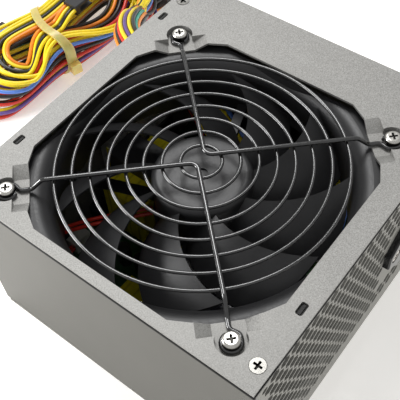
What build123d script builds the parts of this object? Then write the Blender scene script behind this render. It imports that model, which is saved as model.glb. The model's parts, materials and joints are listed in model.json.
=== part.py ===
from build123d import *
import os
from math import cos, hypot, pi, radians, sin, tan

# Desktop power supply in the ATX size: a sheet-metal case with a 120 mm fan in its lid, a mains inlet
# and a rocker switch in the rear panel, the circuit board and its parts, and a hank of output leads.
# Millimetres. The origin is the centre of the base, +Z is up through the fan, the rear panel faces -Y,
# and the output leads leave the front panel, which faces +Y.

os.makedirs("parts", exist_ok=True)

# ---------------------------------------------------------------- driving dimensions

CASE_W, CASE_D, CASE_H = 150.0, 140.0, 86.0
SHEET = 1.0                                  # thickness of all case sheets
BEND_R = 1.3                                 # outer radius of the case's bends
SEAM = 0.4                                   # how far the lid's edge lies inside the case's faces
SIDE_GAP = 0.1                               # side panels to the tray's panels
HALF_W, HALF_D = CASE_W / 2, CASE_D / 2
LID_UNDER = CASE_H - SHEET
FLANGE_UNDER = LID_UNDER - SHEET
TRAY_X = HALF_W - SHEET - SIDE_GAP           # half width of the tray's upright panels
FRONT_FLANGE_Y, REAR_FLANGE_Y = 60.2, -61.2  # inner edges of the tray's top flanges
LEFT_FLANGE_X, RIGHT_FLANGE_X = -62.0, 55.0  # inner edges of the side panels' top flanges
SIDE_FOOT_Z = 2.05                           # lower edge of the side panels
SIDE_TAB_Y = (-6.0, 17.0)                    # the tab that hooks into the base's edge

FAN_X, FAN_Y = -11.0, -0.5
FAN_SIZE, FAN_DEPTH = 120.0, 25.0
FAN_PITCH = 52.5                             # half the 105 mm hole spacing
SCREW_U = FAN_PITCH * 2 ** 0.5               # the same hole, measured along the diagonal
PAD_DROP = 2.8                               # how deep the screw pads are pressed in
PAD_FLOOR = CASE_H - PAD_DROP
PAD_HALF, PAD_RAMP_HALF = 5.8, 11.3          # half widths of the pad's floor and of its ramps at the top
PAD_BACK_U, PAD_ROUND_R = 72.0, 5.7
PAD_HOLE_R = 2.3
FAN_TOP = PAD_FLOOR - SHEET
FAN_BOTTOM = FAN_TOP - FAN_DEPTH
OPENING_QUARTER = [(59.2, 31.0), (55.1, 38.3), (38.3, 55.1), (31.0, 59.2)]
OPENING_U = (55.1 + 38.3) / 2 ** 0.5         # the chamfered edge, measured along the diagonal

GUARD_RING_R = [8.0, 15.0, 22.0, 28.8, 35.6, 42.4, 49.2, 56.0]
RING_WIRE_R, SPOKE_WIRE_R = 0.7, 0.9
SPOKE_Z = 88.8
RING_Z = SPOKE_Z - SPOKE_WIRE_R - RING_WIRE_R
EYE_R = 3.35
EYE_Z = PAD_FLOOR + SPOKE_WIRE_R

FAN_SCREW_HEAD_R, FAN_SCREW_HEAD_H, FAN_SCREW_R = 3.3, 2.2, 2.1
LID_SCREWS = [(-65.6, -64.8), (60.1, 64.8), (60.1, -64.8), (-65.6, 64.8)]
LID_SCREW_HEAD_R, LID_SCREW_R = 2.8, 1.45
LID_SLOTS = [(-43.1, 65.9), (46.7, 65.7), (-40.7, -65.0), (46.0, -65.0)]
SLOT_L, SLOT_W = 5.3, 2.8

BORE_R, FLARE_R, FLARE_DEPTH, FLARE_SQUARE = 57.75, 65.0, 8.0, 58.7
SHROUD_R = 60.5
FAN_FLANGE = 4.0
HUB_R, HUB_WALL, HUB_TOP, HUB_BOTTOM = 20.0, 1.5, 80.5, 61.5
BLADES, BLADE_TIP_R = 9, 56.5
BLADE_SWEEP, BLADE_ROOT_SPAN, BLADE_TIP_SPAN = 33.0, 36.0, 27.0
BLADE_LEAD_Z, BLADE_TRAIL_Z, BLADE_CAMBER, BLADE_THICK = 79.0, 63.0, 1.8, 1.9
BLADE_FIRST_ANGLE = -14.0
SHAFT_R, BEARING_R, BEARING_TUBE_R = 1.5, 3.0, 4.0
RUNNING_GAP = 0.03

VENT_PITCH, VENT_ROW, VENT_FLATS = 5.957, 5.15, 4.9
VENT_X, VENT_TOP_Z, VENT_ROWS = -3.85, 81.3, 14
CASE_HOLES = [(-69.0, 80.0), (-45.0, 6.0), (69.0, 6.0), (69.0, 70.0)]
CASE_HOLE_R, CASE_COLLAR_R, CASE_COLLAR_L = 1.5, 2.6, 3.0

INLET_X, INLET_Z = 40.6, 46.5
INLET_FLANGE_W, INLET_FLANGE_H, INLET_FLANGE_T = 50.0, 24.0, 3.0
INLET_BODY_W, INLET_BODY_H, INLET_BODY_L = 27.0, 19.6, 16.0
INLET_HOLE_W, INLET_HOLE_H, INLET_HOLE_L = 24.4, 16.8, 16.5
INLET_SCREW_PITCH = 40.0
SWITCH_X, SWITCH_Z = 54.0, 21.0
SWITCH_W, SWITCH_H, SWITCH_LIP = 21.0, 15.0, 1.6
ROCKER_W, ROCKER_H, ROCKER_TILT = 15.4, 9.4, 9.0
ROCKER_PIVOT_Y = -HALF_D + 1.2

BOARD_Z, BOARD_T = 7.0, 1.6
BOARD_X, BOARD_Y = (-68.0, 68.0), (-46.0, 64.0)
BOARD_SCREWS = [(-63.0, -41.0), (63.0, -41.0), (-63.0, 59.0), (63.0, 59.0)]
BOARD_TOP = BOARD_Z + BOARD_T
EARTH_SCREW, EARTH_SCREW_R = (0.0, -58.0), 1.6

EXIT_X, EXIT_Z = 52.0, 46.0                  # where the output leads pass the front panel
LEAD_R, LEAD_PITCH = 1.1, 2.4
LOOM_R = 8.5
GROMMET_BORE_R, GROMMET_R, GROMMET_LIP_R = 8.7, 10.5, 12.5

# The output leads by colour, in the order in which they fill the rings of the bundle.
LEAD_COLOURS = (
    ["black"] * 3 + ["yellow", "red", "orange", "black", "yellow"]
    + ["yellow", "black", "red", "orange", "blue", "black", "yellow", "red", "black", "orange"]
    + ["purple", "yellow", "black", "red", "grey", "yellow", "black", "green", "red", "orange"]
    + ["yellow", "black", "red", "black", "yellow", "red"]
)

# The free stretch of the leads, from the grommet to the hank, and the hank itself.
LOOM_ROUTE = [(EXIT_X, HALF_D, EXIT_Z), (EXIT_X, 90.0, 45.5), (66.0, 113.0, 40.0), (86.0, 124.0, 33.0)]
HANK_PLAN = [(-13, 141), (56, 141), (80, 117), (122, 117), (122, 192), (-13, 192)]
HANK_H = 35.0
STRAP_CENTRE, STRAP_DIRECTION = (57.0, 163.0), (13.0, 40.0)
STRAP_SPAN, STRAP_Z = 42.0, (2.0, 32.0)
STRAP_W, STRAP_T, STRAP_CORNER = 4.4, 1.3, 11.0
STRAP_BOW = 6.0                              # how far the strap's middle lies towards -X
PLUG_X = 124.0                               # back faces of the plugs that lie at the hank's end

# ---------------------------------------------------------------- small helpers


def block(x, y, z):
    """A block between two values along each axis."""
    centre = Pos((x[0] + x[1]) / 2, (y[0] + y[1]) / 2, (z[0] + z[1]) / 2)
    return centre * Box(x[1] - x[0], y[1] - y[0], z[1] - z[0])


def post(x, y, z, radius):
    """An upright round bar between two heights."""
    return Pos(x, y, (z[0] + z[1]) / 2) * Cylinder(radius, z[1] - z[0])


def bar_y(x, z, y, radius):
    """A round bar along Y between two values."""
    return Pos(x, (y[0] + y[1]) / 2, z) * Rot(90, 0, 0) * Cylinder(radius, y[1] - y[0])


def bar_x(y, z, x, radius):
    """A round bar along X between two values."""
    return Pos((x[0] + x[1]) / 2, y, z) * Rot(0, 90, 0) * Cylinder(radius, x[1] - x[0])


def tube(x, y, z, outer, inner):
    """An upright tube between two heights."""
    return post(x, y, z, outer) - post(x, y, z, inner)


def around(centre, spread):
    """The values on both sides of a centre."""
    return (centre - spread, centre + spread)


def turned(x, y, degrees):
    """A plan point turned about the origin."""
    angle = radians(degrees)
    return (x * cos(angle) - y * sin(angle), x * sin(angle) + y * cos(angle))


def prism_x(points, x):
    """A solid with a YZ outline between two values of X."""
    outline = Plane.YZ * make_face(Polyline(*points, close=True))
    return Pos(x[0], 0, 0) * extrude(outline, x[1] - x[0])


def bend_radii(points):
    """The largest arc that fits at each corner of a route."""
    corners = [Vector(*point) for point in points]
    radii = []
    for before, here, after in zip(corners, corners[1:], corners[2:]):
        run_in = here - before
        run_out = after - here
        half_turn = radians(run_in.get_angle(run_out)) / 2
        radii.append(0.45 * min(run_in.length, run_out.length) / tan(half_turn))
    return radii


def round_tube(points, radius):
    """A round bar of straight runs and arcs through a route."""
    path = FilletPolyline(*points, radius=bend_radii(points))
    section = Plane(origin=path @ 0, z_dir=path % 0) * Circle(radius)
    return sweep(section, path=path)


def save(name, *shapes):
    """Write one node; its solids stay separate."""
    solids = [solid for shape in shapes for solid in shape.solids()]
    export_step(Compound(solids) if len(solids) > 1 else solids[0], f"parts/{name}.step")


# ---------------------------------------------------------------- case sheets


FAN_PLACE = Pos(FAN_X, FAN_Y, 0)
CORNERS = [45 + 90 * quarter for quarter in range(4)]


def opening_outline():
    """The lid's fan opening: a square with its corners cut back in three edges."""
    return [turned(x, y, 90 * quarter) for quarter in range(4) for x, y in OPENING_QUARTER]


def pad_form(u, ramp_top, floor, back_u, round_r):
    """A trapezoid trough with ramped sides, and a round end at the screw."""
    trough = prism_x(
        [(-PAD_RAMP_HALF, CASE_H + 1), (-PAD_RAMP_HALF, ramp_top), (-PAD_HALF, floor),
         (PAD_HALF, floor), (PAD_RAMP_HALF, ramp_top), (PAD_RAMP_HALF, CASE_H + 1)],
        (u, back_u),
    )
    return trough + post(SCREW_U, 0, (floor, CASE_H + 1), round_r)


def lid_plate():
    """The top plate: fan opening, pressed pads, screw holes and hook slots."""
    plate = block(around(0, HALF_W - SEAM), around(0, HALF_D - SEAM), (LID_UNDER, CASE_H))
    opening = FAN_PLACE * make_face(Polyline(*opening_outline(), close=True))
    plate -= Pos(0, 0, LID_UNDER - 1) * extrude(opening, SHEET + 2)
    outside = pad_form(OPENING_U, LID_UNDER, PAD_FLOOR - SHEET, PAD_BACK_U + SHEET, PAD_ROUND_R + SHEET)
    outside = outside & block((0, 100), (-30, 30), (0, CASE_H))
    inside = pad_form(OPENING_U - 2, CASE_H, PAD_FLOOR, PAD_BACK_U, PAD_ROUND_R)
    hole = post(SCREW_U, 0, (PAD_FLOOR - 2, CASE_H), PAD_HOLE_R)
    for corner in CORNERS:
        plate += FAN_PLACE * Rot(0, 0, corner) * outside
    for corner in CORNERS:
        plate -= FAN_PLACE * Rot(0, 0, corner) * (inside + hole)
    for x, y in LID_SCREWS:
        plate -= Pos(x, y, LID_UNDER + SHEET / 2) * Cone(1.8, LID_SCREW_HEAD_R + 0.2, SHEET)
    for x, y in LID_SLOTS:
        plate -= Pos(x, y, LID_UNDER - 1) * extrude(RectangleRounded(SLOT_L, SLOT_W, 0.9), SHEET + 2)
    return plate


def side_panel(side, flange_x):
    """A side sheet with its top flange and its tab; side is -1 for the left one."""
    outer, inner = side * HALF_W, side * (HALF_W - SHEET)
    wall_x = tuple(sorted((outer, inner)))
    panel = block(wall_x, around(0, HALF_D), (SIDE_FOOT_Z, LID_UNDER))
    panel += block(tuple(sorted((outer, flange_x))), around(0, HALF_D), (FLANGE_UNDER, LID_UNDER))
    top_edges = panel.edges().filter_by(Axis.Y).group_by(Axis.Z)[-1]
    panel = fillet(top_edges.sort_by(Axis.X)[0 if side < 0 else -1], BEND_R)
    panel += block(wall_x, SIDE_TAB_Y, (0.2, SIDE_FOOT_Z))
    for x, y in LID_SCREWS:
        panel -= post(x, y, (FLANGE_UNDER - 1, LID_UNDER + 1), LID_SCREW_R + 0.02)
    if side < 0:
        # The flange is cut back beside the lid's opening and the two pads at its ends.
        panel -= block((-71.6, flange_x + 1), (-62.0, 61.0), (FLANGE_UNDER - 1, LID_UNDER + 1))
    return panel


def honeycomb():
    """The rear panel's hexagon holes; they leave room for the inlet and the switch."""
    hexagon = RegularPolygon(VENT_FLATS / 2, 6, major_radius=False, rotation=30)
    cell = Rot(90, 0, 0) * extrude(hexagon, 2, both=True)
    cells = []
    for row in range(VENT_ROWS):
        z = VENT_TOP_Z - VENT_ROW * row
        for column in range(-11, 12):
            x = VENT_X + VENT_PITCH * (column + 0.5 * (row % 2))
            beside_inlet = x > 14.5 and 22 < z < 63
            beside_switch = x > 40 and z < 34
            if -67 < x < 63 and not beside_inlet and not beside_switch:
                cells.append(Pos(x, -HALF_D, z) * cell)
    return cells


def base_tray():
    """The bent tray: bottom, rear panel and front panel with their top flanges."""
    outer = Plane.YZ * Pos(0, LID_UNDER / 2) * RectangleRounded(CASE_D, LID_UNDER, BEND_R)
    inside_d, inside_h = CASE_D - 2 * SHEET, LID_UNDER - 2 * SHEET
    inner = Plane.YZ * Pos(0, LID_UNDER / 2) * RectangleRounded(inside_d, inside_h, 0.3)
    tray = Pos(-TRAY_X, 0, 0) * extrude(outer - inner, 2 * TRAY_X)
    tray -= block(around(0, HALF_W), (REAR_FLANGE_Y, FRONT_FLANGE_Y), (FLANGE_UNDER - 1, LID_UNDER + 1))
    # The top flanges and the panels' upper corners make way for the side panels' flanges.
    for x in ((-HALF_W, LEFT_FLANGE_X + 0.5), (RIGHT_FLANGE_X - 0.5, HALF_W)):
        tray -= block(x, around(0, HALF_D), (FLANGE_UNDER - SIDE_GAP, LID_UNDER + 1))
    tray += block(around(0, HALF_W), around(0, HALF_D - BEND_R), (0, SHEET))
    for side in (-1, 1):
        lip_x = tuple(sorted((side * TRAY_X, side * (TRAY_X - SHEET))))
        tray += block(lip_x, around(0, 58), (0, 9))
        notch_x = tuple(sorted((side * (HALF_W + 1), side * (HALF_W - SHEET - 0.05))))
        tray -= block(notch_x, (SIDE_TAB_Y[0] - 0.4, SIDE_TAB_Y[1] + 0.4), (-1, SHEET + 0.5))
    for x, z in CASE_HOLES:
        tray += bar_y(x, z, (-HALF_D, -HALF_D + CASE_COLLAR_L), CASE_COLLAR_R)
    for x, z in CASE_HOLES:
        tray -= bar_y(x, z, (-HALF_D - 1, -HALF_D + CASE_COLLAR_L + 1), CASE_HOLE_R)
    rear = around(-HALF_D, 2)
    tray -= block(around(INLET_X, INLET_BODY_W / 2 + 0.1), rear, around(INLET_Z, INLET_BODY_H / 2 + 0.1))
    for side in (-1, 1):
        tray -= bar_y(INLET_X + side * INLET_SCREW_PITCH / 2, INLET_Z, rear, 1.35)
    tray -= block(around(SWITCH_X, SWITCH_W / 2 - 1), rear, around(SWITCH_Z, SWITCH_H / 2 - 1))
    tray -= bar_y(EXIT_X, EXIT_Z, around(HALF_D, 3), GROMMET_R)
    tray -= post(*EARTH_SCREW, (-1, SHEET + 1), EARTH_SCREW_R)
    tray -= honeycomb()
    # Hook tabs rise from the flanges into the lid's slots.
    for x, y in LID_SLOTS:
        tray += block(around(x, 2.1), around(y, 0.5), (FLANGE_UNDER, CASE_H - 0.5))
    return tray


# ---------------------------------------------------------------- screws


def cross_recess(z, width=0.9, length=3.4, depth=1.1):
    """The cross slot in a screw head whose top is at z."""
    slot = block(around(0, length / 2), around(0, width / 2), (z - depth, z + 1))
    return slot + Rot(0, 0, 90) * slot


def pan_screw(z, head_r, head_h, shank_r, shank_l):
    """A pan-head screw whose head sits on z."""
    head = post(0, 0, (z, z + head_h), head_r)
    head = fillet(head.edges().group_by(Axis.Z)[-1], head_h * 0.55)
    return head + post(0, 0, (z - shank_l, z + 0.1), shank_r) - cross_recess(z + head_h)


def lid_screw():
    """A countersunk screw, its head nearly flush with the lid."""
    head = Pos(0, 0, LID_UNDER + 0.575) * Cone(1.6, LID_SCREW_HEAD_R, 1.15)
    return head + post(0, 0, (FLANGE_UNDER - 4, LID_UNDER + 0.1), LID_SCREW_R) - cross_recess(CASE_H + 0.15)


# ---------------------------------------------------------------- guard


def on_diagonal(u, w, z, corner):
    """A point given along and across the diagonal towards a corner of the fan."""
    x, y = turned(u, w, corner)
    return (FAN_X + x, FAN_Y + y, z)


def spoke_end(corner, hand):
    """A spoke's points from near the centre out to its eye; hand is the side on which the eye starts."""
    plan = [(60.0, 0.0, SPOKE_Z), (65.0, 0.0, EYE_Z), (69.3, 0.0, EYE_Z),
            (71.6, EYE_R, EYE_Z), (SCREW_U, EYE_R, EYE_Z)]
    return [on_diagonal(u, hand * w, z, corner) for u, w, z in plan]


def eye_arc(corner, hand):
    """The open eye round a fan screw."""
    def at(degrees):
        angle = radians(degrees)
        return on_diagonal(SCREW_U + EYE_R * cos(angle), hand * EYE_R * sin(angle), EYE_Z, corner)
    return ThreePointArc(at(90), at(-35), at(-155))


def guard_spoke(side, first_corner, second_corner):
    """One bent wire across the rings, with an eye at each end."""
    first = spoke_end(first_corner, side)
    second = spoke_end(second_corner, -side)
    middle = (FAN_X + side * 2.4, FAN_Y, SPOKE_Z)
    bends = [2.2, 2.2, 2.5, 2.5, 3.5, 2.5, 2.5, 2.2, 2.2]
    run = FilletPolyline(*reversed(first), middle, *second, radius=bends)
    path = Wire(eye_arc(first_corner, side).edges() + run.edges() + eye_arc(second_corner, -side).edges())
    section = Plane(origin=path @ 0, z_dir=path % 0) * Circle(SPOKE_WIRE_R)
    return sweep(section, path=path)


# ---------------------------------------------------------------- fan


def fan_frame():
    """The square frame with its flared bore, corner flanges, struts and motor base."""
    frame = FAN_PLACE * Pos(0, 0, FAN_BOTTOM) * extrude(RectangleRounded(FAN_SIZE, FAN_SIZE, 5), FAN_DEPTH)
    waist_z = (FAN_BOTTOM + FAN_FLANGE, FAN_TOP - FAN_FLANGE)
    waist = block(around(FAN_X, FAN_SIZE), around(FAN_Y, FAN_SIZE), waist_z)
    frame -= waist - post(FAN_X, FAN_Y, waist_z, SHROUD_R)
    frame -= post(FAN_X, FAN_Y, (FAN_BOTTOM - 1, FAN_TOP + 1), BORE_R)
    flare_low = FAN_TOP - FLARE_DEPTH
    middle_r = FLARE_R - (FLARE_R - BORE_R) * cos(pi / 4)
    middle_z = flare_low + FLARE_DEPTH * sin(pi / 4)
    curve = ThreePointArc((BORE_R, flare_low), (middle_r, middle_z), (FLARE_R, FAN_TOP))
    over = FAN_TOP + 1
    rest = Polyline((FLARE_R, FAN_TOP), (FLARE_R, over), (0, over), (0, flare_low), (BORE_R, flare_low))
    flare = FAN_PLACE * revolve(Plane.XZ * make_face(curve + rest), Axis.Z)
    frame -= flare & block(around(FAN_X, FLARE_SQUARE), around(FAN_Y, FLARE_SQUARE), (0, CASE_H))
    strut = block((20.5, BORE_R + 1.5), (-2.2, 2.2), (FAN_BOTTOM, FAN_BOTTOM + 2.6))
    for angle in (20, 110, 200, 290):
        frame += FAN_PLACE * Rot(0, 0, angle) * strut
    frame += post(FAN_X, FAN_Y, (FAN_BOTTOM, FAN_BOTTOM + 2), 21)
    frame += post(FAN_X, FAN_Y, (FAN_BOTTOM, 69), BEARING_TUBE_R)
    frame -= post(FAN_X, FAN_Y, (FAN_BOTTOM + 1, 70), BEARING_R)
    for corner in CORNERS:
        x, y, _ = on_diagonal(SCREW_U, 0, 0, corner)
        frame -= post(x, y, (FAN_BOTTOM - 1, FAN_TOP + 1), FAN_SCREW_R + 0.05)
    return frame


def blade_section(distance, tip_angle):
    """A blade's curved section in the upright plane at a distance from the axis."""
    share = (distance - HUB_R) / (BLADE_TIP_R - HUB_R)
    span = BLADE_ROOT_SPAN + (BLADE_TIP_SPAN - BLADE_ROOT_SPAN) * share
    middle = tip_angle - BLADE_SWEEP * (1 - share) - span / 2
    half = distance * tan(radians(span / 2))
    x, y = turned(distance, 0, middle)
    radial = (*turned(1, 0, middle), 0)
    tangent = (*turned(0, 1, middle), 0)
    plane = Plane(origin=(FAN_X + x, FAN_Y + y, 0), x_dir=tangent, z_dir=radial)
    mid_z = (BLADE_LEAD_Z + BLADE_TRAIL_Z) / 2 + BLADE_CAMBER
    top = ThreePointArc((-half, BLADE_TRAIL_Z), (0, mid_z), (half, BLADE_LEAD_Z))
    under = ThreePointArc(
        (half, BLADE_LEAD_Z - BLADE_THICK * 0.6),
        (0, mid_z - BLADE_THICK),
        (-half, BLADE_TRAIL_Z - BLADE_THICK * 0.6),
    )
    return plane * make_face(top + Line(top @ 1, under @ 0) + under + Line(under @ 1, top @ 0))


def fan_impeller():
    """The hub cup with nine blades swept forward."""
    hub = post(FAN_X, FAN_Y, (HUB_BOTTOM, HUB_TOP), HUB_R)
    hub = fillet(hub.edges().group_by(Axis.Z)[-1], 2.6)
    hub -= post(FAN_X, FAN_Y, (HUB_BOTTOM - 1, HUB_TOP - 2), HUB_R - HUB_WALL)
    hub += post(FAN_X, FAN_Y, (70, HUB_TOP - 1), 3.4)
    hub -= post(FAN_X, FAN_Y, (69, HUB_TOP - 2), SHAFT_R)
    hub -= post(FAN_X, FAN_Y, (HUB_TOP - 0.8, HUB_TOP + 1), 2.15)
    stations = [HUB_R - 1.1, 31, 43, 54, 61]
    blade = loft([blade_section(distance, BLADE_FIRST_ANGLE) for distance in stations])
    blade = blade & post(FAN_X, FAN_Y, (0, CASE_H), BLADE_TIP_R)
    for number in range(BLADES):
        hub += FAN_PLACE * Rot(0, 0, number * 360 / BLADES) * FAN_PLACE.inverse() * blade
    return hub


def fan_stator():
    """The laminated stator: a ring, four poles and their shoes."""
    z = (64, 72)
    cross = block(around(0, 15), around(0, 2.2), z) + block(around(0, 2.2), around(0, 15), z)
    shoes = tube(0, 0, z, 15.8, 14.2)
    for angle in (45, 135):
        shoes -= Rot(0, 0, angle) * block(around(0, 20), around(0, 2.5), (z[0] - 1, z[1] + 1))
    core = post(0, 0, z, 7) + (cross & post(0, 0, z, 15)) + shoes
    return FAN_PLACE * (core - post(0, 0, (z[0] - 1, z[1] + 1), BEARING_TUBE_R))


def fan_coils():
    """Copper windings round the four poles."""
    coil = block((7.6, 13.2), around(0, 4.2), (62.4, 73.6)) - block((7, 14), around(0, 2.25), (63.9, 72.1))
    return [FAN_PLACE * Rot(0, 0, 90 * quarter) * coil for quarter in range(4)]


# ---------------------------------------------------------------- mains inlet and switch


def inlet_outline(width, height, taper):
    """A plate whose left and right ends taper towards the middle."""
    half_w, half_h = width / 2, height / 2
    mid_h = half_h * 0.35
    left = [(-half_w + taper, half_h), (-half_w, mid_h), (-half_w, -mid_h), (-half_w + taper, -half_h)]
    points = left + [(-x, y) for x, y in reversed(left)]
    return make_face(Polyline(*points, close=True))


def inlet_body():
    """The mains inlet: flange, body and the socket with two cut corners."""
    face = Plane(origin=(INLET_X, -HALF_D, INLET_Z), x_dir=(1, 0, 0), z_dir=(0, -1, 0))
    flange = face * extrude(inlet_outline(INLET_FLANGE_W, INLET_FLANGE_H, 9), INLET_FLANGE_T)
    flange = fillet(flange.edges().group_by(Axis.Y)[0], 0.8)
    body = flange + face * extrude(Rectangle(INLET_BODY_W, INLET_BODY_H), -INLET_BODY_L)
    half_w, half_h = INLET_HOLE_W / 2, INLET_HOLE_H / 2
    cut = 5.5
    socket = Polyline((-half_w, -half_h), (half_w, -half_h), (half_w, half_h - cut), (half_w - cut, half_h),
                      (-half_w + cut, half_h), (-half_w, half_h - cut), close=True)
    socket_face = face.offset(INLET_FLANGE_T) * make_face(socket)
    body -= extrude(socket_face, -INLET_HOLE_L)
    for side in (-1, 1):
        x = INLET_X + side * INLET_SCREW_PITCH / 2
        body -= bar_y(x, INLET_Z, (-HALF_D - 5, -HALF_D + 1), 1.8)
        body -= bar_y(x, INLET_Z, (-HALF_D - 5, -HALF_D - 1.4), 3.2)
    for x, z in inlet_contacts():
        body -= block(around(x, 2.05), (-HALF_D, -HALF_D + 30), around(z, 1.05))
    return body


def inlet_contacts():
    """Where the three flat pins stand: two below, the earth pin above between them."""
    return [(INLET_X - 7, INLET_Z - 2), (INLET_X + 7, INLET_Z - 2), (INLET_X, INLET_Z + 2)]


def inlet_pins():
    """Three flat pins that run through the body to the leads."""
    pins = [block(around(x, 2), (-HALF_D + 0.5, -47), around(z, 1)) for x, z in inlet_contacts()]
    return pins


def inlet_screw(side):
    """A small pan-head screw in the inlet's ear."""
    screw = pan_screw(0, 2.9, 1.5, 1.3, 7)
    return Pos(INLET_X + side * INLET_SCREW_PITCH / 2, -HALF_D - 1.4, INLET_Z) * Rot(90, 0, 0) * screw


def switch_body():
    """The rocker switch's housing, with a bezel and a pocket for the rocker."""
    lip_y = (-HALF_D - SWITCH_LIP, -HALF_D)
    body = block(around(SWITCH_X, SWITCH_W / 2), lip_y, around(SWITCH_Z, SWITCH_H / 2))
    body = fillet(body.edges().group_by(Axis.Y)[0], 0.7)
    shell_x, shell_z = around(SWITCH_X, SWITCH_W / 2 - 1.1), around(SWITCH_Z, SWITCH_H / 2 - 1.1)
    body += block(shell_x, (-HALF_D, -HALF_D + 13), shell_z)
    pocket_y = (-HALF_D - 3, -HALF_D + 8)
    body -= block(around(SWITCH_X, ROCKER_W / 2 + 0.7), pocket_y, around(SWITCH_Z, ROCKER_H / 2 + 0.35))
    pivot = post(SWITCH_X, ROCKER_PIVOT_Y, around(SWITCH_Z, ROCKER_H / 2 + 1.2), 1.08)
    return body - pivot


def switch_rocker():
    """The rocker, tipped to one side about its pivot pins, with a shallow valley in its face."""
    half_w, half_h = ROCKER_W / 2, ROCKER_H / 2
    face_y = -2.6
    outline = Polyline((-half_w, face_y - 0.9), (0, face_y + 0.3), (half_w, face_y - 0.9), (half_w, 0.6),
                       (4.2, 3.2), (-4.2, 3.2), (-half_w, 0.6), close=True)
    rocker = Pos(0, 0, -half_h) * extrude(make_face(outline), ROCKER_H)
    rocker += post(0, 0, around(0, half_h + 1.0), 1.0)
    return Pos(SWITCH_X, ROCKER_PIVOT_Y, SWITCH_Z) * Rot(0, 0, ROCKER_TILT) * rocker


def switch_terminals():
    """Two flat tabs behind the switch."""
    y = (-HALF_D + 13, -HALF_D + 21)
    return [block(around(SWITCH_X + side * 5, 2.4), y, around(SWITCH_Z, 0.4)) for side in (-1, 1)]


# ---------------------------------------------------------------- board and the parts on it


def board_with_holes(z, hole_r):
    """A sheet of the board's outline with its screw holes."""
    sheet = block(BOARD_X, BOARD_Y, z)
    for x, y in BOARD_SCREWS:
        sheet -= post(x, y, (z[0] - 1, z[1] + 1), hole_r)
    return sheet


def capacitor(x, y, radius, height):
    """A round capacitor with a crimped waist near its foot."""
    can = post(x, y, (BOARD_TOP, BOARD_TOP + height), radius)
    can = fillet(can.edges().group_by(Axis.Z)[-1], min(1.0, radius * 0.25))
    groove_z = BOARD_TOP + max(2.0, height * 0.1)
    return can - tube(x, y, around(groove_z, 0.5), radius + 1, radius - 0.4)


def finned_heatsink(x, y, z, fin_y, fin_pitch):
    """A plate along X with upright fins on one side."""
    sink = block(x, y, z)
    count = int((x[1] - x[0]) / fin_pitch)
    for number in range(count):
        centre = x[0] + fin_pitch * (number + 0.5)
        sink += block(around(centre, 0.6), fin_y, z)
    return sink


def power_transistor(x, y, z):
    """A flat power transistor with its back at y: the body, and its metal tab above it."""
    case = block(around(x, 5), (y - 4.4, y), (z, z + 9.5))
    tab = block(around(x, 5), (y - 1.3, y), (z + 9.5, z + 16))
    return case + tab


def transformer(centre, size, tape_out):
    """Core and taped winding; the winding runs along Y and stands out of the core on both X sides."""
    x, y = centre
    width, depth, height = size
    leg = depth * 0.16
    z = (BOARD_TOP, BOARD_TOP + height)
    core = block(around(x, width / 2), around(y, depth / 2), z)
    window_y = around(y, depth / 2 - leg)
    middle_z = (z[0] + z[1]) / 2
    centre_leg = block(around(x, width / 2), window_y, around(middle_z, leg * 0.8))
    core -= block(around(x, width), window_y, (z[0] + leg * 0.9, z[1] - leg * 0.9)) - centre_leg
    winding_z = (z[0] + leg * 0.9 + 0.2, z[1] - leg * 0.9 - 0.2)
    winding = block(around(x, width / 2 + tape_out), around(y, depth / 2 - leg - 0.2), winding_z)
    winding = fillet(winding.edges().filter_by(Axis.Y), 3.0)
    winding -= centre_leg
    return core, winding


def wound_ring(x, y, z, major, minor, axis_angle):
    """An upright toroid choke: the core's ring and fat turns of wire round it."""
    place = Pos(x, y, z) * Rot(0, 90, axis_angle)
    ring = place * Torus(major, minor - 1.2)
    turns = []
    for number in range(14):
        angle = 360 / 14 * number
        turn = Rot(0, 0, angle) * Pos(major, 0, 0) * Rot(90, 0, 0) * Torus(minor - 0.6, 0.6)
        turns.append(place * turn)
    return ring, turns


# ---------------------------------------------------------------- leads


def bundle_offsets():
    """Where each lead lies in the round bundle: rings of six, twelve and eighteen round the middle one."""
    offsets = [(0.0, 0.0)]
    for ring in (1, 2, 3):
        for corner in range(6):
            for step in range(ring):
                start = turned(ring * LEAD_PITCH, 0, 60 * corner)
                end = turned(ring * LEAD_PITCH, 0, 60 * (corner + 1))
                share = step / ring
                across = start[0] + (end[0] - start[0]) * share
                up = start[1] + (end[1] - start[1]) * share
                offsets.append((across, up))
    return offsets[:len(LEAD_COLOURS)]


def inner_lead(across, up):
    """One output lead from the board to the grommet, offset from the bundle's middle."""
    route = [
        (35 + across, 15 - up, BOARD_TOP),
        (35 + across, 15 - up, 29 + up),
        (EXIT_X - 3 + across, 52 - up, EXIT_Z + up),
        (EXIT_X + across, HALF_D - 0.5, EXIT_Z + up),
    ]
    return round_tube(route, LEAD_R)


def plug_block(x, y, z, columns, rows):
    """A rectangular plug with a grid of square contact holes in its mating face, which points to +X."""
    plug = block(x, y, z)
    plug = chamfer(plug.edges().filter_by(Axis.X), 0.6)
    step_y = (y[1] - y[0]) / columns
    step_z = (z[1] - z[0]) / rows
    for column in range(columns):
        for row in range(rows):
            hole_y = around(y[0] + step_y * (column + 0.5), 1.4)
            hole_z = around(z[0] + step_z * (row + 0.5), 1.3)
            plug -= block((x[1] - 9, x[1] + 1), hole_y, hole_z)
    return plug


def strap_plane():
    """The upright plane in which the hank's strap lies."""
    length = hypot(*STRAP_DIRECTION)
    x, y = STRAP_DIRECTION[0] / length, STRAP_DIRECTION[1] / length
    centre_z = (STRAP_Z[0] + STRAP_Z[1]) / 2
    return Plane(origin=(*STRAP_CENTRE, centre_z), x_dir=(x, y, 0), z_dir=(y, -x, 0))


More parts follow.
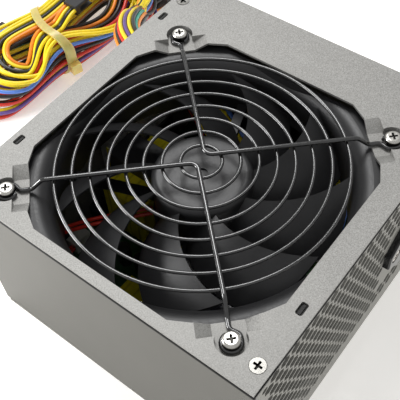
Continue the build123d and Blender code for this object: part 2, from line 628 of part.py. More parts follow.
def strap_disc(grow, thickness):
    """The strap's rounded outline, filled, in its plane."""
    width = STRAP_SPAN + 2 * grow
    height = STRAP_Z[1] - STRAP_Z[0] + 2 * grow
    outline = RectangleRounded(width, height, STRAP_CORNER + grow)
    return strap_plane() * extrude(outline, thickness / 2, both=True)


def strap_band(width):
    """An upright arc-shaped wall as wide as asked; the strap runs inside it and bows towards -X."""
    arc_r = ((STRAP_SPAN / 2) ** 2 + STRAP_BOW ** 2) / (2 * STRAP_BOW)
    length = hypot(*STRAP_DIRECTION)
    x, y = STRAP_DIRECTION[0] / length, STRAP_DIRECTION[1] / length
    reach = arc_r - STRAP_BOW
    middle = Pos(STRAP_CENTRE[0] + y * reach, STRAP_CENTRE[1] - x * reach, -1)
    ring = middle * extrude(Circle(arc_r + width / 2) - Circle(arc_r - width / 2), STRAP_Z[1] + 12)
    return ring & (strap_plane() * Box(90, 90, 2 * STRAP_BOW + width + 4))


def cable_strap():
    """The nylon strap round the hank, with its square lock."""
    depth = 2 * STRAP_BOW + STRAP_W + 6
    strap = (strap_disc(0, depth) - strap_disc(-STRAP_T, depth + 2)) & strap_band(STRAP_W)
    lock = strap_plane() * Pos(-STRAP_SPAN / 2 - 1.2, -6, 0) * Box(5, 6, 6)
    return strap + (lock - strap_disc(-STRAP_T, depth))


# ---------------------------------------------------------------- build every node

# Case
save("lid_plate", lid_plate())
save("side_panel_left", side_panel(-1, LEFT_FLANGE_X))
save("side_panel_right", side_panel(1, RIGHT_FLANGE_X))
save("base_tray", base_tray())
save("lid_screws", *[Pos(x, y, 0) * lid_screw() for x, y in LID_SCREWS])
FAN_SCREW = pan_screw(EYE_Z + SPOKE_WIRE_R, FAN_SCREW_HEAD_R, FAN_SCREW_HEAD_H, FAN_SCREW_R, 13)
save("fan_screws", *[FAN_PLACE * Rot(0, 0, corner) * Pos(SCREW_U, 0, 0) * FAN_SCREW for corner in CORNERS])

# Guard
save("guard_rings", *[Pos(FAN_X, FAN_Y, RING_Z) * Torus(radius, RING_WIRE_R) for radius in GUARD_RING_R])
save("guard_spokes", guard_spoke(-1, 135, 225), guard_spoke(1, 45, 315))

# Fan
save("fan_frame", fan_frame())
save("fan_impeller", fan_impeller())
save("fan_magnet_ring", tube(FAN_X, FAN_Y, (62.5, HUB_TOP - 2), HUB_R - HUB_WALL, 16.6))
FAN_SHAFT = post(FAN_X, FAN_Y, (59.6, HUB_TOP - 2), SHAFT_R) - tube(FAN_X, FAN_Y, (60.4, 61.0), 3, 1.2)
save("fan_shaft", FAN_SHAFT)
save("fan_clip", tube(FAN_X, FAN_Y, (60.42, 60.98), 2.5, 1.2))
save("fan_bearing", tube(FAN_X, FAN_Y, (61.4, 69), BEARING_R, SHAFT_R + RUNNING_GAP))
save("fan_stator", fan_stator())
save("fan_coils", *fan_coils())
save("fan_circuit_board", tube(FAN_X, FAN_Y, (FAN_BOTTOM + 2, FAN_BOTTOM + 3.2), 15.5, BEARING_TUBE_R))

# Mains inlet and switch
save("inlet_body", inlet_body())
save("inlet_pins", *inlet_pins())
save("inlet_screws", inlet_screw(-1), inlet_screw(1))
save("switch_body", switch_body())
save("switch_rocker", switch_rocker())
save("switch_terminals", *switch_terminals())

# Circuit board and its fixings
save("circuit_board", board_with_holes((BOARD_Z, BOARD_TOP), 1.6))
save("insulation_sheet", board_with_holes((BOARD_Z - 0.5, BOARD_Z), 1.6))
STANDOFF = post(0, 0, (SHEET, BOARD_Z - 0.5), 3.2) - post(0, 0, (2.4, BOARD_Z), 1.5)
save("board_standoffs", *[Pos(x, y, 0) * STANDOFF for x, y in BOARD_SCREWS])
BOARD_SCREW = pan_screw(BOARD_TOP, 2.9, 1.8, 1.45, 5.6)
save("board_screws", *[Pos(x, y, 0) * BOARD_SCREW for x, y in BOARD_SCREWS])

# Power parts
main_core, main_winding = transformer((-1, 38), (16, 36, 43), 12)
save("main_transformer_core", main_core)
save("main_transformer_winding", main_winding)
small_parts = [transformer((-46, 8), (9, 20, 18), 5), transformer((-16, 6), (8, 17, 14), 4)]
save("small_transformers", *[piece for pair in small_parts for piece in pair])
SINK_Z = (BOARD_TOP + 0.5, 53)
save("primary_heatsink", finned_heatsink((-62, 12), (-15, -12), SINK_Z, (-12, -5.5), 6.2))
save("secondary_heatsink", finned_heatsink((-5, 36), (58.2, 61.2), SINK_Z, (61.2, 68), 5.1))
TAPE = block((-5.4, 0.5), (57.8, 61.2), (18, 48)) - block((-5, 36), (58.2, 61.2), (0, 60))
save("heatsink_tape", TAPE)
TRANSISTORS = [(-52, -15), (-36, -15), (-20, -15), (-4, -15), (19, 58.2), (31, 58.2)]
save("power_transistors", *[power_transistor(x, y, 20) for x, y in TRANSISTORS])
save("bulk_capacitors", capacitor(-46, -31.5, 11, 40), capacitor(-22, -31.5, 11, 40))
OUTPUT_CAPS = [(62, 12), (62, 24), (62, 36), (62, 48), (21, 8), (25.5, 44)]
SMALL_CAPS = [(-20, 60), (-11, 61), (-58, 28), (-58, 40), (-30, 24), (-30, 34), (10.5, 10), (12, 1)]
OUTPUT_ROW = [capacitor(x, y, 5, 24) for x, y in OUTPUT_CAPS]
save("small_capacitors", *OUTPUT_ROW, *[capacitor(x, y, 3.2, 12) for x, y in SMALL_CAPS])
CHOKES = [
    wound_ring(53, -10, BOARD_TOP + 15.5, 10, 5.4, 0),
    wound_ring(24, -30, BOARD_TOP + 12, 7.6, 4.3, 90),
]
save("choke_cores", *[ring for ring, turns in CHOKES])
save("choke_windings", *[turn for ring, turns in CHOKES for turn in turns])
save("film_capacitor", block((37, 63), (-36, -27), (BOARD_TOP, 27)))
BRIDGE = block((-9, 12), (-39, -35), (BOARD_TOP + 2, 28))
save("bridge_rectifier", chamfer(BRIDGE.edges().filter_by(Axis.Z), 0.8).solid())
save("fuse", bar_x(-22.5, BOARD_TOP + 4, (30, 44), 2.6))
save("control_chips", block((-8, 6), (-2, 5), (BOARD_TOP, 12.5)), block((40, 47), (-8, 4), (BOARD_TOP, 12)))

# Leads inside the case
save("cable_grommet", Plane(origin=(EXIT_X, HALF_D + 1.6, EXIT_Z), z_dir=(0, -1, 0)) * (
    extrude(Circle(GROMMET_LIP_R) - Circle(GROMMET_BORE_R), 1.6)
    + Pos(0, 0, 1.6) * extrude(Circle(GROMMET_R) - Circle(GROMMET_BORE_R), SHEET)
    + Pos(0, 0, 1.6 + SHEET) * extrude(Circle(GROMMET_LIP_R) - Circle(GROMMET_BORE_R), 1.4)
))
bundles = {}
for colour, (across, up) in zip(LEAD_COLOURS, bundle_offsets()):
    bundles.setdefault(colour, []).append(inner_lead(across, up))
MAIN_COLOURS = ("black", "yellow", "red", "orange")
for colour in MAIN_COLOURS:
    save(f"leads_{colour}", *bundles[colour])
save("leads_signal", *[lead for colour in bundles if colour not in MAIN_COLOURS for lead in bundles[colour]])
LIVE_PIN, NEUTRAL_PIN, EARTH_PIN = inlet_contacts()
PIN_END = -46.9
MAINS_ROUTES = [
    [(LIVE_PIN[0], PIN_END, LIVE_PIN[1]), (LIVE_PIN[0], -43.2, LIVE_PIN[1]), (32, -43.2, 37),
     (30, -43, 26), (29, -42.5, 16), (29, -42.5, BOARD_TOP + 0.1)],
    [(NEUTRAL_PIN[0], PIN_END, NEUTRAL_PIN[1]), (NEUTRAL_PIN[0], -43, NEUTRAL_PIN[1]), (49, -42, 37),
     (49, -42, 26), (49, -44, SWITCH_Z), (49, -48.9, SWITCH_Z)],
    [(59, -48.9, SWITCH_Z), (59, -44.5, SWITCH_Z), (65, -36, 20), (66, -28, 17), (66, -28, BOARD_TOP + 0.1)],
]
save("mains_leads", *[round_tube(route, 1.2) for route in MAINS_ROUTES])
EARTH_ROUTE = [(EARTH_PIN[0], PIN_END, EARTH_PIN[1]), (EARTH_PIN[0], -43.4, EARTH_PIN[1]), (36, -46, 38),
               (26, -50, 26), (16, -54, 13), (9, -57, 4.2), (3.8, -58, 2.3)]
save("earth_lead", round_tube(EARTH_ROUTE, 1.2))
save("earth_screw", Pos(*EARTH_SCREW, 0) * pan_screw(SHEET, 3.2, 2.4, EARTH_SCREW_R, SHEET - 0.1))
save("fan_socket", block((-41, -31), (55, 61), (BOARD_TOP, 16)))
FAN_LEAD_ROUTE = [(-25, 16, 56), (-42, 32, 55.6), (-56, 46, 50), (-60, 54, 38), (-53, 57, 24), (-47, 56, 13)]
FAN_LEAD_SHIFT = 1.8                         # between the two leads, in x and in y
SOCKET_END = (-41.1, 56.0, 13.0)
SECOND_ROUTE = [(x + FAN_LEAD_SHIFT, y + FAN_LEAD_SHIFT, z) for x, y, z in FAN_LEAD_ROUTE]
SECOND_END = (SOCKET_END[0], SOCKET_END[1] + FAN_LEAD_SHIFT, SOCKET_END[2])
FAN_LEADS = [round_tube(FAN_LEAD_ROUTE + [SOCKET_END], 0.8), round_tube(SECOND_ROUTE + [SECOND_END], 0.8)]
save("fan_leads", *FAN_LEADS)

# Free leads: loom, hank, strap and plugs
loom = round_tube(LOOM_ROUTE, LOOM_R)
hank = extrude(make_face(Polyline(*HANK_PLAN, close=True)), HANK_H)
hank = fillet(hank.edges().filter_by(Axis.Z), 16)
hank = fillet(hank.edges().group_by(Axis.Z)[-1], 8)
hank = fillet(hank.edges().group_by(Axis.Z)[0], 4)
WAIST_W = 2 * STRAP_BOW + STRAP_W + 6
waist = strap_plane() * Box(140, 100, WAIST_W)
hank -= waist - strap_disc(-STRAP_T, WAIST_W + 1)
small_plug = plug_block((68, 80), (152, 162), (31, 37), 4, 1)
hank -= block((67.5, 80.5), (151.5, 162.5), (30.5, 60))
hank -= loom
save("cable_loom", loom)
save("cable_hank", hank)
save("cable_strap", cable_strap())
save("mainboard_plug", plug_block((PLUG_X, PLUG_X + 20), (132, 184), (0, 10), 12, 2))
EIGHT_PIN_Y = [(134, 152), (158, 176)]
save("eight_pin_plugs", *[plug_block((PLUG_X, PLUG_X + 20), y, (10.2, 20.2), 4, 2) for y in EIGHT_PIN_Y])
save("drive_plugs", small_plug, plug_block((PLUG_X, PLUG_X + 22), (133, 154), (20.4, 28.4), 4, 1))
save("sata_plugs", plug_block((PLUG_X, PLUG_X + 16), (157, 181), (20.4, 26.4), 8, 1),
     plug_block((33, 57), (197, 213), (0, 6), 5, 1))
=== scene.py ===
import json
import random
from math import cos, radians, sin

import bpy
from mathutils import Matrix, Vector


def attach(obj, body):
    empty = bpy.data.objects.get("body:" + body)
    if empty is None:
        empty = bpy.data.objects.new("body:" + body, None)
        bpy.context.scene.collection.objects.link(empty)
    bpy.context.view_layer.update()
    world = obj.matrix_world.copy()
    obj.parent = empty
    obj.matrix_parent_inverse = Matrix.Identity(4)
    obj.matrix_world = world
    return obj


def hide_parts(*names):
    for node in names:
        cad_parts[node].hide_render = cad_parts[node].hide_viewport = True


# Looks for the desktop power supply: camera, light, the free output leads and every material.
# The frame is the CAD model's own: the case's base is at z = 0 and the rear panel faces -Y.
# Lengths named in capitals are in millimetres unless a comment says otherwise.

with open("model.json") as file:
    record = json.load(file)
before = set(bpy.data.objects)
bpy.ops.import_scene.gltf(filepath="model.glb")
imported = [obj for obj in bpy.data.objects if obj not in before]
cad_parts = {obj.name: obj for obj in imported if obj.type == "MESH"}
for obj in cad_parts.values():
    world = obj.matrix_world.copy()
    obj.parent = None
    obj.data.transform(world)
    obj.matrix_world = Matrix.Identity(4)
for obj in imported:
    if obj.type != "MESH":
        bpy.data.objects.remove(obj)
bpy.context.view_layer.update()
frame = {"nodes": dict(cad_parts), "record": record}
MM = 0.001                                        # metres in a millimetre

# ---------------------------------------------------------------- sizes shared with the CAD model

# The bundle's middle line from the front panel to the hank, and how far its section has turned
# at each point, in radians.
LOOM_ROUTE = [(52.0, 70.0, 46.0), (52.0, 90.0, 45.5), (66.0, 113.0, 40.0), (86.0, 124.0, 33.0)]
LOOM_TURNS = (0.0, 0.0, 0.6, 1.0)
LEAD_R = 1.1
LEAD_PITCH = 2.4
STRAP_CENTRE = (57.0, 163.0)
STRAP_ACROSS = (0.309, 0.951)                     # the strap's direction in plan, a unit vector
STRAP_HALF = 21.0
STRAP_BOW = 6.0
PLUG_X, SMALL_PLUG_X, FLOOR_PLUG_X = 124.0, 68.0, 33.0    # the back faces of the plugs

# ---------------------------------------------------------------- camera and light

CAMERA_PLACE, CAMERA_TARGET = (-147.5, -118.8, 306.2), (-25.0, -10.6, 86.0)
CAMERA_ROLL = -4.77                               # degrees
LENS = 67.4                                       # for a sensor 36 mm wide
CASE_MIDDLE = (0.0, 0.0, 0.05)                    # metres
FLOOR_HALF = 3.0                                  # metres
FLOOR_COLOUR, FLOOR_GLOW = (0.88, 0.87, 0.85, 1), (1.0, 0.98, 0.94, 1)


def make_camera():
    """A view from the left and above, looking down on the lid with a slight roll."""
    place = Vector(CAMERA_PLACE) * MM
    target = Vector(CAMERA_TARGET) * MM
    data = bpy.data.cameras.new("camera")
    data.sensor_width = 36.0
    data.lens = LENS
    data.clip_start = 0.01
    camera = bpy.data.objects.new("camera", data)
    turn = (target - place).to_track_quat("-Z", "Y").to_matrix().to_4x4()
    roll = Matrix.Rotation(radians(CAMERA_ROLL), 4, "Z")
    camera.matrix_world = Matrix.Translation(place) @ turn @ roll
    bpy.context.scene.collection.objects.link(camera)
    bpy.context.scene.camera = camera


def make_light(name, place, target, size, power):
    """One square soft box that faces a point; metres and watts."""
    data = bpy.data.lights.new(name, "AREA")
    data.shape = "SQUARE"
    data.size = size
    data.energy = power
    light = bpy.data.objects.new(name, data)
    light.location = place
    facing = (Vector(target) - Vector(place)).to_track_quat("-Z", "Y")
    light.rotation_euler = facing.to_euler()
    bpy.context.scene.collection.objects.link(light)


def make_floor():
    """A pale, faintly glowing floor."""
    mesh = bpy.data.meshes.new("floor")
    corners = [(-1, -1), (1, -1), (1, 1), (-1, 1)]
    mesh.from_pydata([(FLOOR_HALF * x, FLOOR_HALF * y, 0) for x, y in corners], [], [(0, 1, 2, 3)])
    floor = bpy.data.objects.new("floor", mesh)
    bpy.context.scene.collection.objects.link(floor)
    material = bpy.data.materials.new("floor")
    material.use_nodes = True
    shader = material.node_tree.nodes["Principled BSDF"]
    shader.inputs["Base Color"].default_value = FLOOR_COLOUR
    shader.inputs["Roughness"].default_value = 0.6
    shader.inputs["Emission Color"].default_value = FLOOR_GLOW
    shader.inputs["Emission Strength"].default_value = 0.4
    mesh.materials.append(material)


def make_surround():
    """Even white light from all round."""
    world = bpy.data.worlds.new("world")
    world.use_nodes = True
    background = world.node_tree.nodes["Background"]
    background.inputs["Color"].default_value = (1.0, 1.0, 1.0, 1)
    background.inputs["Strength"].default_value = 0.55
    bpy.context.scene.world = world


make_camera()
make_floor()
make_surround()
make_light("key", (0.33, 0.42, 0.95), CASE_MIDDLE, 0.4, 5.8)
make_light("back", (-0.28, 0.36, 0.17), (-0.08, 0.08, 0.03), 0.2, 2.0)
bpy.context.scene.view_settings.view_transform = "Standard"

# ---------------------------------------------------------------- materials


class Tree:
    """A short way to build one material's nodes."""

    def __init__(self, name, **sockets):
        self.material = bpy.data.materials.new(name)
        self.material.use_nodes = True
        self.nodes = self.material.node_tree.nodes
        self.links = self.material.node_tree.links
        self.shader = self.nodes["Principled BSDF"]
        self.coordinates = self.nodes.new("ShaderNodeTexCoord")
        for socket, value in sockets.items():
            self.shader.inputs[socket.replace("_", " ")].default_value = value

    def noise(self, scale, detail=2.0, rough=0.5, stretch=(1, 1, 1)):
        """Noise fixed to the object; the scale is per metre."""
        mapping = self.nodes.new("ShaderNodeMapping")
        mapping.inputs["Scale"].default_value = stretch
        self.links.new(self.coordinates.outputs["Object"], mapping.inputs["Vector"])
        node = self.nodes.new("ShaderNodeTexNoise")
        node.inputs["Scale"].default_value = scale
        node.inputs["Detail"].default_value = detail
        node.inputs["Roughness"].default_value = rough
        self.links.new(mapping.outputs["Vector"], node.inputs["Vector"])
        return node.outputs["Fac"]

    def ramp(self, value, stops):
        """A colour from a value, through the given stops."""
        node = self.nodes.new("ShaderNodeValToRGB")
        elements = node.color_ramp.elements
        while len(elements) < len(stops):
            elements.new(0.5)
        for element, (place, colour) in zip(elements, stops):
            element.position = place
            element.color = (*colour, 1)
        self.links.new(value, node.inputs["Fac"])
        return node.outputs["Color"]

    def scaled(self, value, low, high):
        """A noise value's usual range, 0.3 to 0.7, spread over another range."""
        node = self.nodes.new("ShaderNodeMapRange")
        node.inputs["From Min"].default_value = 0.3
        node.inputs["From Max"].default_value = 0.7
        node.inputs["To Min"].default_value = low
        node.inputs["To Max"].default_value = high
        self.links.new(value, node.inputs["Value"])
        return node.outputs["Result"]

    def colour(self, value):
        """Link the shader's colour."""
        self.links.new(value, self.shader.inputs["Base Color"])

    def roughness(self, value):
        """Link the shader's roughness."""
        self.links.new(value, self.shader.inputs["Roughness"])

    def bump(self, value, strength, distance):
        """Raise the surface by a value; the distance is in metres."""
        node = self.nodes.new("ShaderNodeBump")
        node.inputs["Strength"].default_value = strength
        node.inputs["Distance"].default_value = distance
        self.links.new(value, node.inputs["Height"])
        self.links.new(node.outputs["Normal"], self.shader.inputs["Normal"])


def shades(colour, spread):
    """A darker and a lighter version of a colour."""
    darker = tuple(max(0.0, part * (1 - spread)) for part in colour)
    lighter = tuple(min(1.0, part * (1 + spread)) for part in colour)
    return darker, lighter


def plain_material(name, colour, rough, spread, scale, bump, distance=0.0001,
                   stretch=(1, 1, 1), **sockets):
    """A colour that varies a little, with roughness and bump from the same noise."""
    tree = Tree(name, **sockets)
    value = tree.noise(scale, 4.0, 0.6, stretch)
    low, high = shades(colour, spread)
    tree.colour(tree.ramp(value, [(0.3, low), (0.7, high)]))
    tree.roughness(tree.scaled(value, rough * 0.85, min(1.0, rough * 1.15)))
    tree.bump(value, bump, distance)
    return tree.material


def height_mask(tree, height, below, above):
    """A factor that steps from one value to another at a height above the base, in metres."""
    parts = tree.nodes.new("ShaderNodeSeparateXYZ")
    tree.links.new(tree.coordinates.outputs["Object"], parts.inputs["Vector"])
    node = tree.nodes.new("ShaderNodeMapRange")
    node.inputs["From Min"].default_value = height - 0.1 * MM
    node.inputs["From Max"].default_value = height + 0.1 * MM
    node.inputs["To Min"].default_value = below
    node.inputs["To Max"].default_value = above
    tree.links.new(parts.outputs["Z"], node.inputs["Value"])
    return node.outputs["Result"]


def multiplied(tree, first, second):
    """One colour times another."""
    mix = tree.nodes.new("ShaderNodeMix")
    mix.data_type = "RGBA"
    mix.blend_type = "MULTIPLY"
    mix.inputs["Factor"].default_value = 1.0
    sockets = [socket for socket in mix.inputs if socket.type == "RGBA"]
    tree.links.new(first, sockets[0])
    tree.links.new(second, sockets[1])
    return next(socket for socket in mix.outputs if socket.type == "RGBA")


def powder_coat(name, grains, strength, shade_z=None):
    """Warm grey powder coat with fine grains; above the given height it is painted dark, as painted
    shade for the gap under the lid.
    """
    tree = Tree(name, Metallic=0.3)
    grain = tree.noise(2600, 2.0, 0.7)
    patches = tree.noise(40, 2.0, 0.5)
    fine = tree.ramp(grain, [(0.25, grains[0]), (0.5, grains[1]), (0.78, grains[2])])
    broad = tree.ramp(patches, [(0.3, (0.94, 0.94, 0.94)), (0.7, (1.0, 1.0, 1.0))])
    shade = multiplied(tree, fine, broad)
    # Painted shade: above this height the colour is darkened to stand for the shadow in the gap
    # under the lid.
    if shade_z:
        shade = multiplied(tree, shade, height_mask(tree, shade_z, 1.0, 0.03))
    tree.colour(shade)
    tree.roughness(tree.scaled(grain, 0.40, 0.60))
    tree.bump(grain, strength, 0.00006)
    return tree.material


def screw_material(name, recess, shine=1.0):
    """Bright nickel whose cross recess, below a height, is in shadow."""
    tree = Tree(name, Metallic=1.0)
    value = tree.noise(500, 3.0, 0.6)
    low = tuple(part * shine for part in (0.55, 0.54, 0.50))
    high = tuple(part * shine for part in (0.72, 0.70, 0.66))
    plate = tree.ramp(value, [(0.3, low), (0.7, high)])
    tree.colour(multiplied(tree, plate, height_mask(tree, recess, 0.04, 1.0)))
    tree.roughness(tree.scaled(value, 0.22, 0.34))
    tree.bump(value, 0.05, 0.00005)
    return tree.material


def tape_material(name, colour):
    """Glossy adhesive tape wound in overlapping turns."""
    tree = Tree(name, Roughness=0.25)
    wave = tree.nodes.new("ShaderNodeTexWave")
    wave.bands_direction = "Y"
    wave.inputs["Scale"].default_value = 60
    wave.inputs["Distortion"].default_value = 1.5
    tree.links.new(tree.coordinates.outputs["Object"], wave.inputs["Vector"])
    low, high = shades(colour, 0.15)
    tree.colour(tree.ramp(wave.outputs["Fac"], [(0.0, low), (0.2, high), (1.0, high)]))
    tree.bump(wave.outputs["Fac"], 0.3, 0.0002)
    return tree.material


LEAD_COLOURS = {
    "black": (0.012, 0.012, 0.013),
    "yellow": (0.86, 0.66, 0.012),
    "red": (0.62, 0.035, 0.02),
    "orange": (0.86, 0.26, 0.02),
    "blue": (0.08, 0.20, 0.62),
    "purple": (0.12, 0.06, 0.26),
    "green": (0.02, 0.34, 0.24),
    "grey": (0.30, 0.30, 0.30),
}

# The dark, middle and light grains of each powder coat.
LID_GRAINS = [(0.18, 0.178, 0.166), (0.31, 0.305, 0.29), (0.50, 0.495, 0.475)]
# The sides' grains are painted darker than the lid's. This is painted shade for the upright sides,
# which get less light.
SHADED_SIDE_GRAINS = [(0.09, 0.088, 0.077), (0.11, 0.107, 0.093), (0.135, 0.13, 0.115)]
TRAY_GRAINS = [(0.27, 0.265, 0.24), (0.31, 0.305, 0.28), (0.36, 0.355, 0.325)]
PAINTED_SHADE_Z = 84.0                                     # painted shade for the gap under the lid starts here
FAN_RECESS_Z, LID_RECESS_Z = 86.3, 85.9           # the screws' cross recesses lie below these

# Colour, roughness, spread of the colour, noise scale, bump strength and bump distance in metres.
PLAIN_MATERIALS = {
    "nickel": ((0.72, 0.68, 0.62), 0.22, 0.15, 700, 0.08, 0.0001),
    "black_wire": ((0.05, 0.05, 0.05), 0.22, 0.2, 900, 0.06, 0.0001),
    "black_plastic": ((0.018, 0.018, 0.019), 0.42, 0.15, 1600, 0.15, 0.00005),
    "gloss_black_plastic": ((0.01, 0.01, 0.011), 0.12, 0.1, 300, 0.03, 0.0001),
    "steel": ((0.5, 0.5, 0.5), 0.35, 0.15, 300, 0.1, 0.0001),
    "brass": ((0.7, 0.5, 0.22), 0.3, 0.12, 300, 0.08, 0.0001),
    "magnet": ((0.04, 0.04, 0.042), 0.6, 0.15, 800, 0.2, 0.0001),
    "copper": ((0.55, 0.2, 0.08), 0.25, 0.15, 500, 0.1, 0.0001),
    "aluminium": ((0.85, 0.85, 0.84), 0.36, 0.10, 300, 0.2, 0.0001),
    "ferrite": ((0.03, 0.03, 0.032), 0.45, 0.25, 1200, 0.25, 0.0001),
    "capacitor_sleeve": ((0.02, 0.02, 0.03), 0.25, 0.2, 200, 0.08, 0.0001),
    "board": ((0.03, 0.11, 0.04), 0.35, 0.3, 250, 0.2, 0.0001),
    "clear_sheet": ((0.6, 0.58, 0.52), 0.3, 0.05, 100, 0.05, 0.0001),
    "white_plastic": ((0.78, 0.77, 0.73), 0.4, 0.05, 500, 0.05, 0.0001),
    "nylon_strap": ((0.80, 0.56, 0.18), 0.32, 0.10, 300, 0.1, 0.0001),
    "grey_rubber": ((0.03, 0.03, 0.03), 0.55, 0.2, 700, 0.2, 0.0001),
}
# What some of them have besides: the shader's own sockets, or a stretched noise.
EXTRAS = {
    "nickel": {"Metallic": 1.0},
    "black_wire": {"Metallic": 0.8, "Coat_Weight": 1.0, "Coat_Roughness": 0.1},
    "steel": {"Metallic": 1.0},
    "brass": {"Metallic": 1.0},
    "copper": {"Metallic": 0.9, "Coat_Weight": 0.4},
    "aluminium": {"Metallic": 0.6, "stretch": (0.05, 1, 3)},
    "board": {"Coat_Weight": 0.4},
    "nylon_strap": {"Transmission_Weight": 0.15, "Subsurface_Weight": 0.4},
}


def lead_material(name, colour):
    """Soft vinyl insulation with a dull shine."""
    return plain_material(f"lead_{name}", colour, 0.34, 0.10, 900, 0.05, 0.00005,
                          Coat_Weight=0.15, Coat_Roughness=0.3)


def make_materials():
    """Every material by its slot name."""
    made = {
        "grey_powder_coat": powder_coat("grey_powder_coat", LID_GRAINS, 0.35),
        "shaded_side_coat": powder_coat("shaded_side_coat", SHADED_SIDE_GRAINS, 0.12, PAINTED_SHADE_Z * MM),
        "tray_coat": powder_coat("tray_coat", TRAY_GRAINS, 0.12, PAINTED_SHADE_Z * MM),
        "fan_screw_nickel": screw_material("fan_screw_nickel", FAN_RECESS_Z * MM),
        "lid_screw_nickel": screw_material("lid_screw_nickel", LID_RECESS_Z * MM, 0.5),
        "yellow_tape": tape_material("yellow_tape", (0.80, 0.68, 0.02)),
    }
    for name, values in PLAIN_MATERIALS.items():
        made[name] = plain_material(name, *values, **EXTRAS.get(name, {}))
    for name, colour in LEAD_COLOURS.items():
        made[f"lead_{name}"] = lead_material(name, colour)
    made["lead_mixed"] = made["lead_blue"]
    return made


MATERIALS = make_materials()


def dress_cad_nodes():
    """Give each CAD node its slot's material; the case's sheets and the screws have their own."""
    slots = {part["node"]: part["material_slot"] for part in frame["record"]["subparts"]}
    slots["side_panel_left"] = "shaded_side_coat"
    slots["side_panel_right"] = "shaded_side_coat"
    slots["base_tray"] = "tray_coat"
    slots["fan_screws"] = "fan_screw_nickel"
    slots["lid_screws"] = "lid_screw_nickel"
    for node, piece in frame["nodes"].items():
        piece.data.materials.clear()
        piece.data.materials.append(MATERIALS[slots[node]])


dress_cad_nodes()

# ---------------------------------------------------------------- free output leads

# The hank is six layers of nested loops. Each row is one layer, from the top down, and each name
# is the colour of a loop, from the outermost to the innermost.
HANK_LAYERS = [
    ["yellow", "yellow", "yellow", "black", "yellow", "orange"],
    ["blue", "yellow", "red", "black", "orange", "black"],
    ["black", "red", "yellow", "purple", "black", "yellow"],
    ["red", "black", "orange", "green", "black", "yellow"],
    ["purple", "yellow", "red", "black", "orange", "black"],
    ["red", "black", "yellow", "grey"],
]
TOP_LAYER_Z, LAYER_STEP = 28.5, 4.7
# How far from its middle the strap holds the outermost leads; its rounded corners hold them closer.
STRAP_REACH, STRAP_CORNER_REACH = 18.0, 15.0
CORNER_LAYERS = (0, 5)
STRAP_RUN = 6.0                                   # a lead runs straight this far on either side
RIGHT_LOOP, LEFT_LOOP = (100.0, 156.0), (33.0, 164.0)
RIGHT_ANGLES = (-50, -20, 11, 42, 74)             # degrees
LEFT_ANGLES = (90, 118, 146, 174, 202, 230, 258)
FLOOR_PLUG_ROUTE = [(30, 186, 6), (12, 188, 4), (4, 196, 3.4), (12, 204, 3)]
LOWEST = 3.0                                      # of the run from the strap to the plugs
chance = random.Random(12)


def bundle_offsets():
    """Where each lead lies in the bundle at the grommet: one in the middle and three rings."""
    offsets = [(0.0, 0.0)]
    for ring in (1, 2, 3):
        for corner in range(6):
            for step in range(ring):
                first, second = radians(60 * corner), radians(60 * (corner + 1))
                share = step / ring
                x = ring * LEAD_PITCH * (cos(first) * (1 - share) + cos(second) * share)
                z = ring * LEAD_PITCH * (sin(first) * (1 - share) + sin(second) * share)
                offsets.append((x, z))
    return offsets


def jitter(spread):
    """A small chance shift."""
    return chance.uniform(-spread, spread)


def waist_points(across, z, heading):
    """Two points of a lead, before and after the strap; the heading is 1 towards the right loop."""
    bow = STRAP_BOW * (1 - (across / STRAP_HALF) ** 2)
    points = []
    for along in (-STRAP_RUN * heading - bow, STRAP_RUN * heading - bow):
        x = STRAP_CENTRE[0] + STRAP_ACROSS[0] * across + STRAP_ACROSS[1] * along
        y = STRAP_CENTRE[1] + STRAP_ACROSS[1] * across - STRAP_ACROSS[0] * along
        points.append((x, y, z))
    return points


def arc_points(centre, radii, angles, z_from, z_to):
    """Points of one loop, worked out round its centre."""
    points = []
    for number, angle in enumerate(angles):
        share = number / (len(angles) - 1)
        x = centre[0] + radii[0] * cos(radians(angle))
        y = centre[1] + radii[1] * sin(radians(angle))
        points.append((x, y, z_from + (z_to - z_from) * share))
    return points


def loom_points(offset):
    """The stretch from the grommet to the hank; each lead keeps its place in the bundle."""
    side, up = offset
    points = []
    for (x, y, z), turn in zip(LOOM_ROUTE, LOOM_TURNS):
        points.append((x + side * cos(turn), y - side * sin(turn), z + up))
    return points


def right_loop(across, layer_z, nest):
    """The turn from the bundle back towards the strap."""
    radii = (20.0 - 2.2 * nest, 30.0 - 3.4 * nest + jitter(1.0))
    centre = (RIGHT_LOOP[0] + jitter(1.0), RIGHT_LOOP[1] + jitter(1.5))
    start_z = min(31.0, layer_z + 3)
    points = [(100.0, 126.0 + 1.2 * nest + 0.4 * across, start_z)]
    return points + arc_points(centre, radii, RIGHT_ANGLES, start_z, layer_z + jitter(0.8))


def run_to_plug(layer_z, nest, x, y, z):
    """From the strap past the case's side of the hank to a plug at its right end."""
    near = 150.0 - 0.62 * layer_z + 3.4 * nest
    return [
        (74.0, near, layer_z * 0.85),
        (92.0, near, max(LOWEST, layer_z * 0.75)),
        (110.0, (near + y) / 2, max(LOWEST, (layer_z + z) / 2)),
        (x - 6, y, z),
        (x, y, z),
    ]


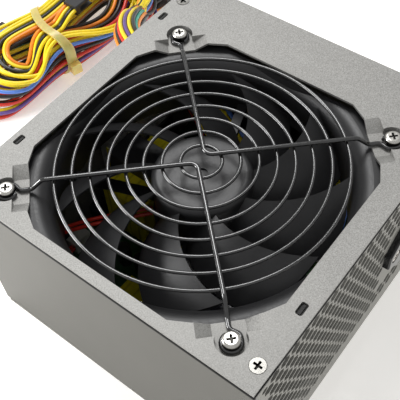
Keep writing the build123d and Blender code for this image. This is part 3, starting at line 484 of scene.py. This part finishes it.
def lead_route(offset, layer, nest, plug):
    """One lead: grommet, right loop, through the strap, left loop, through the strap, plug."""
    name, x, y, z = plug
    layer_z = TOP_LAYER_Z - LAYER_STEP * layer
    reach = (STRAP_CORNER_REACH if layer in CORNER_LAYERS else STRAP_REACH) * (1 - 0.18 * nest)
    points = loom_points(offset)
    points += right_loop(offset[0], layer_z, nest)
    points += waist_points(reach, layer_z + jitter(0.5), -1)
    left = 21.5 - 2.9 * nest + jitter(1.2)
    # Drawn for every lead, also for those that leave before the left loop.
    centre_x = LEFT_LOOP[0] - 3.6 * layer + jitter(2.5)
    centre_y = LEFT_LOOP[1] + 1.9 * layer + jitter(1.2)
    if name == "sata_plugs" and x < STRAP_CENTRE[0]:
        return points + FLOOR_PLUG_ROUTE + [(x - 8, y, z), (x, y, z)]
    low = max(2.0, layer_z * 0.72 - 1.5)
    points += arc_points((centre_x, centre_y), (left * 1.05, left), LEFT_ANGLES, layer_z, low)
    points += waist_points(-reach, max(5.2, layer_z + jitter(0.5)), 1)
    if x < PLUG_X:
        return points + [(x - 9, y - 1, z - 2), (x - 3, y, z), (x, y, z)]
    return points + run_to_plug(layer_z, nest, x, y, z)


def plug_row(name, x, first_y, step, z, count):
    """Spots side by side on a plug's back face."""
    return [(name, x, first_y + step * number, z) for number in range(count)]


def plug_ends():
    """The plug of each lead and the spot where it ends, for the loops from the top layer down."""
    ends = plug_row("drive_plugs", PLUG_X, 137, 4.2, 24.4, 2)
    ends += plug_row("drive_plugs", SMALL_PLUG_X, 153.4, 2.4, 34, 4)
    ends += plug_row("drive_plugs", PLUG_X, 145.4, 4.2, 24.4, 2)
    ends += plug_row("sata_plugs", PLUG_X, 160, 5.0, 23.4, 4)
    ends += plug_row("eight_pin_plugs", PLUG_X, 136, 4.5, 15, 4)
    ends += plug_row("eight_pin_plugs", PLUG_X, 160, 4.5, 15, 4)
    ends += plug_row("mainboard_plug", PLUG_X, 136, 8.4, 7.2, 6)
    ends += plug_row("mainboard_plug", PLUG_X, 136, 8.4, 3.0, 6)
    ends += plug_row("sata_plugs", FLOOR_PLUG_X, 203, 4.0, 3, 2)
    return ends


def make_lead(name, colour, route):
    """A lead as one smooth spline with a round section."""
    curve = bpy.data.curves.new(name, "CURVE")
    curve.dimensions = "3D"
    spline = curve.splines.new("NURBS")
    spline.points.add(len(route) - 1)
    for point, place in zip(spline.points, route):
        point.co = (*[value * MM for value in place], 1.0)
    spline.order_u = 3
    spline.use_endpoint_u = True
    spline.resolution_u = 8
    curve.bevel_depth = LEAD_R * MM
    curve.bevel_resolution = 3
    curve.use_fill_caps = True
    curve.materials.append(MATERIALS[f"lead_{colour}"])
    lead = bpy.data.objects.new(name, curve)
    bpy.context.scene.collection.objects.link(lead)
    return lead


def centre_length(lead):
    """The length of a lead's centreline, in metres."""
    bare = lead.data.copy()
    bare.bevel_depth = 0
    holder = bpy.data.objects.new("bare", bare)
    mesh = bpy.data.meshes.new_from_object(holder)
    points = [vertex.co for vertex in mesh.vertices]
    bpy.data.objects.remove(holder)
    return sum((b - a).length for a, b in zip(points, points[1:]))


def make_hank():
    """All the free leads, drawn as curves that end in their plugs."""
    loops = []
    for layer, row in enumerate(HANK_LAYERS):
        for nest, colour in enumerate(row):
            loops.append((layer, nest, colour))
    jobs = zip(loops, bundle_offsets(), plug_ends())
    for number, ((layer, nest, colour), offset, plug) in enumerate(jobs, 1):
        route = lead_route(offset, layer, nest, plug)
        route = [(x, y, max(z, LEAD_R + 0.2)) for x, y, z in route]
        lead = make_lead(f"lead_{number:02d}_{colour}", colour, route)
        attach(lead, "case")
        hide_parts("cable_loom", "cable_hank")
        round(centre_length(lead), 2)


make_hank()
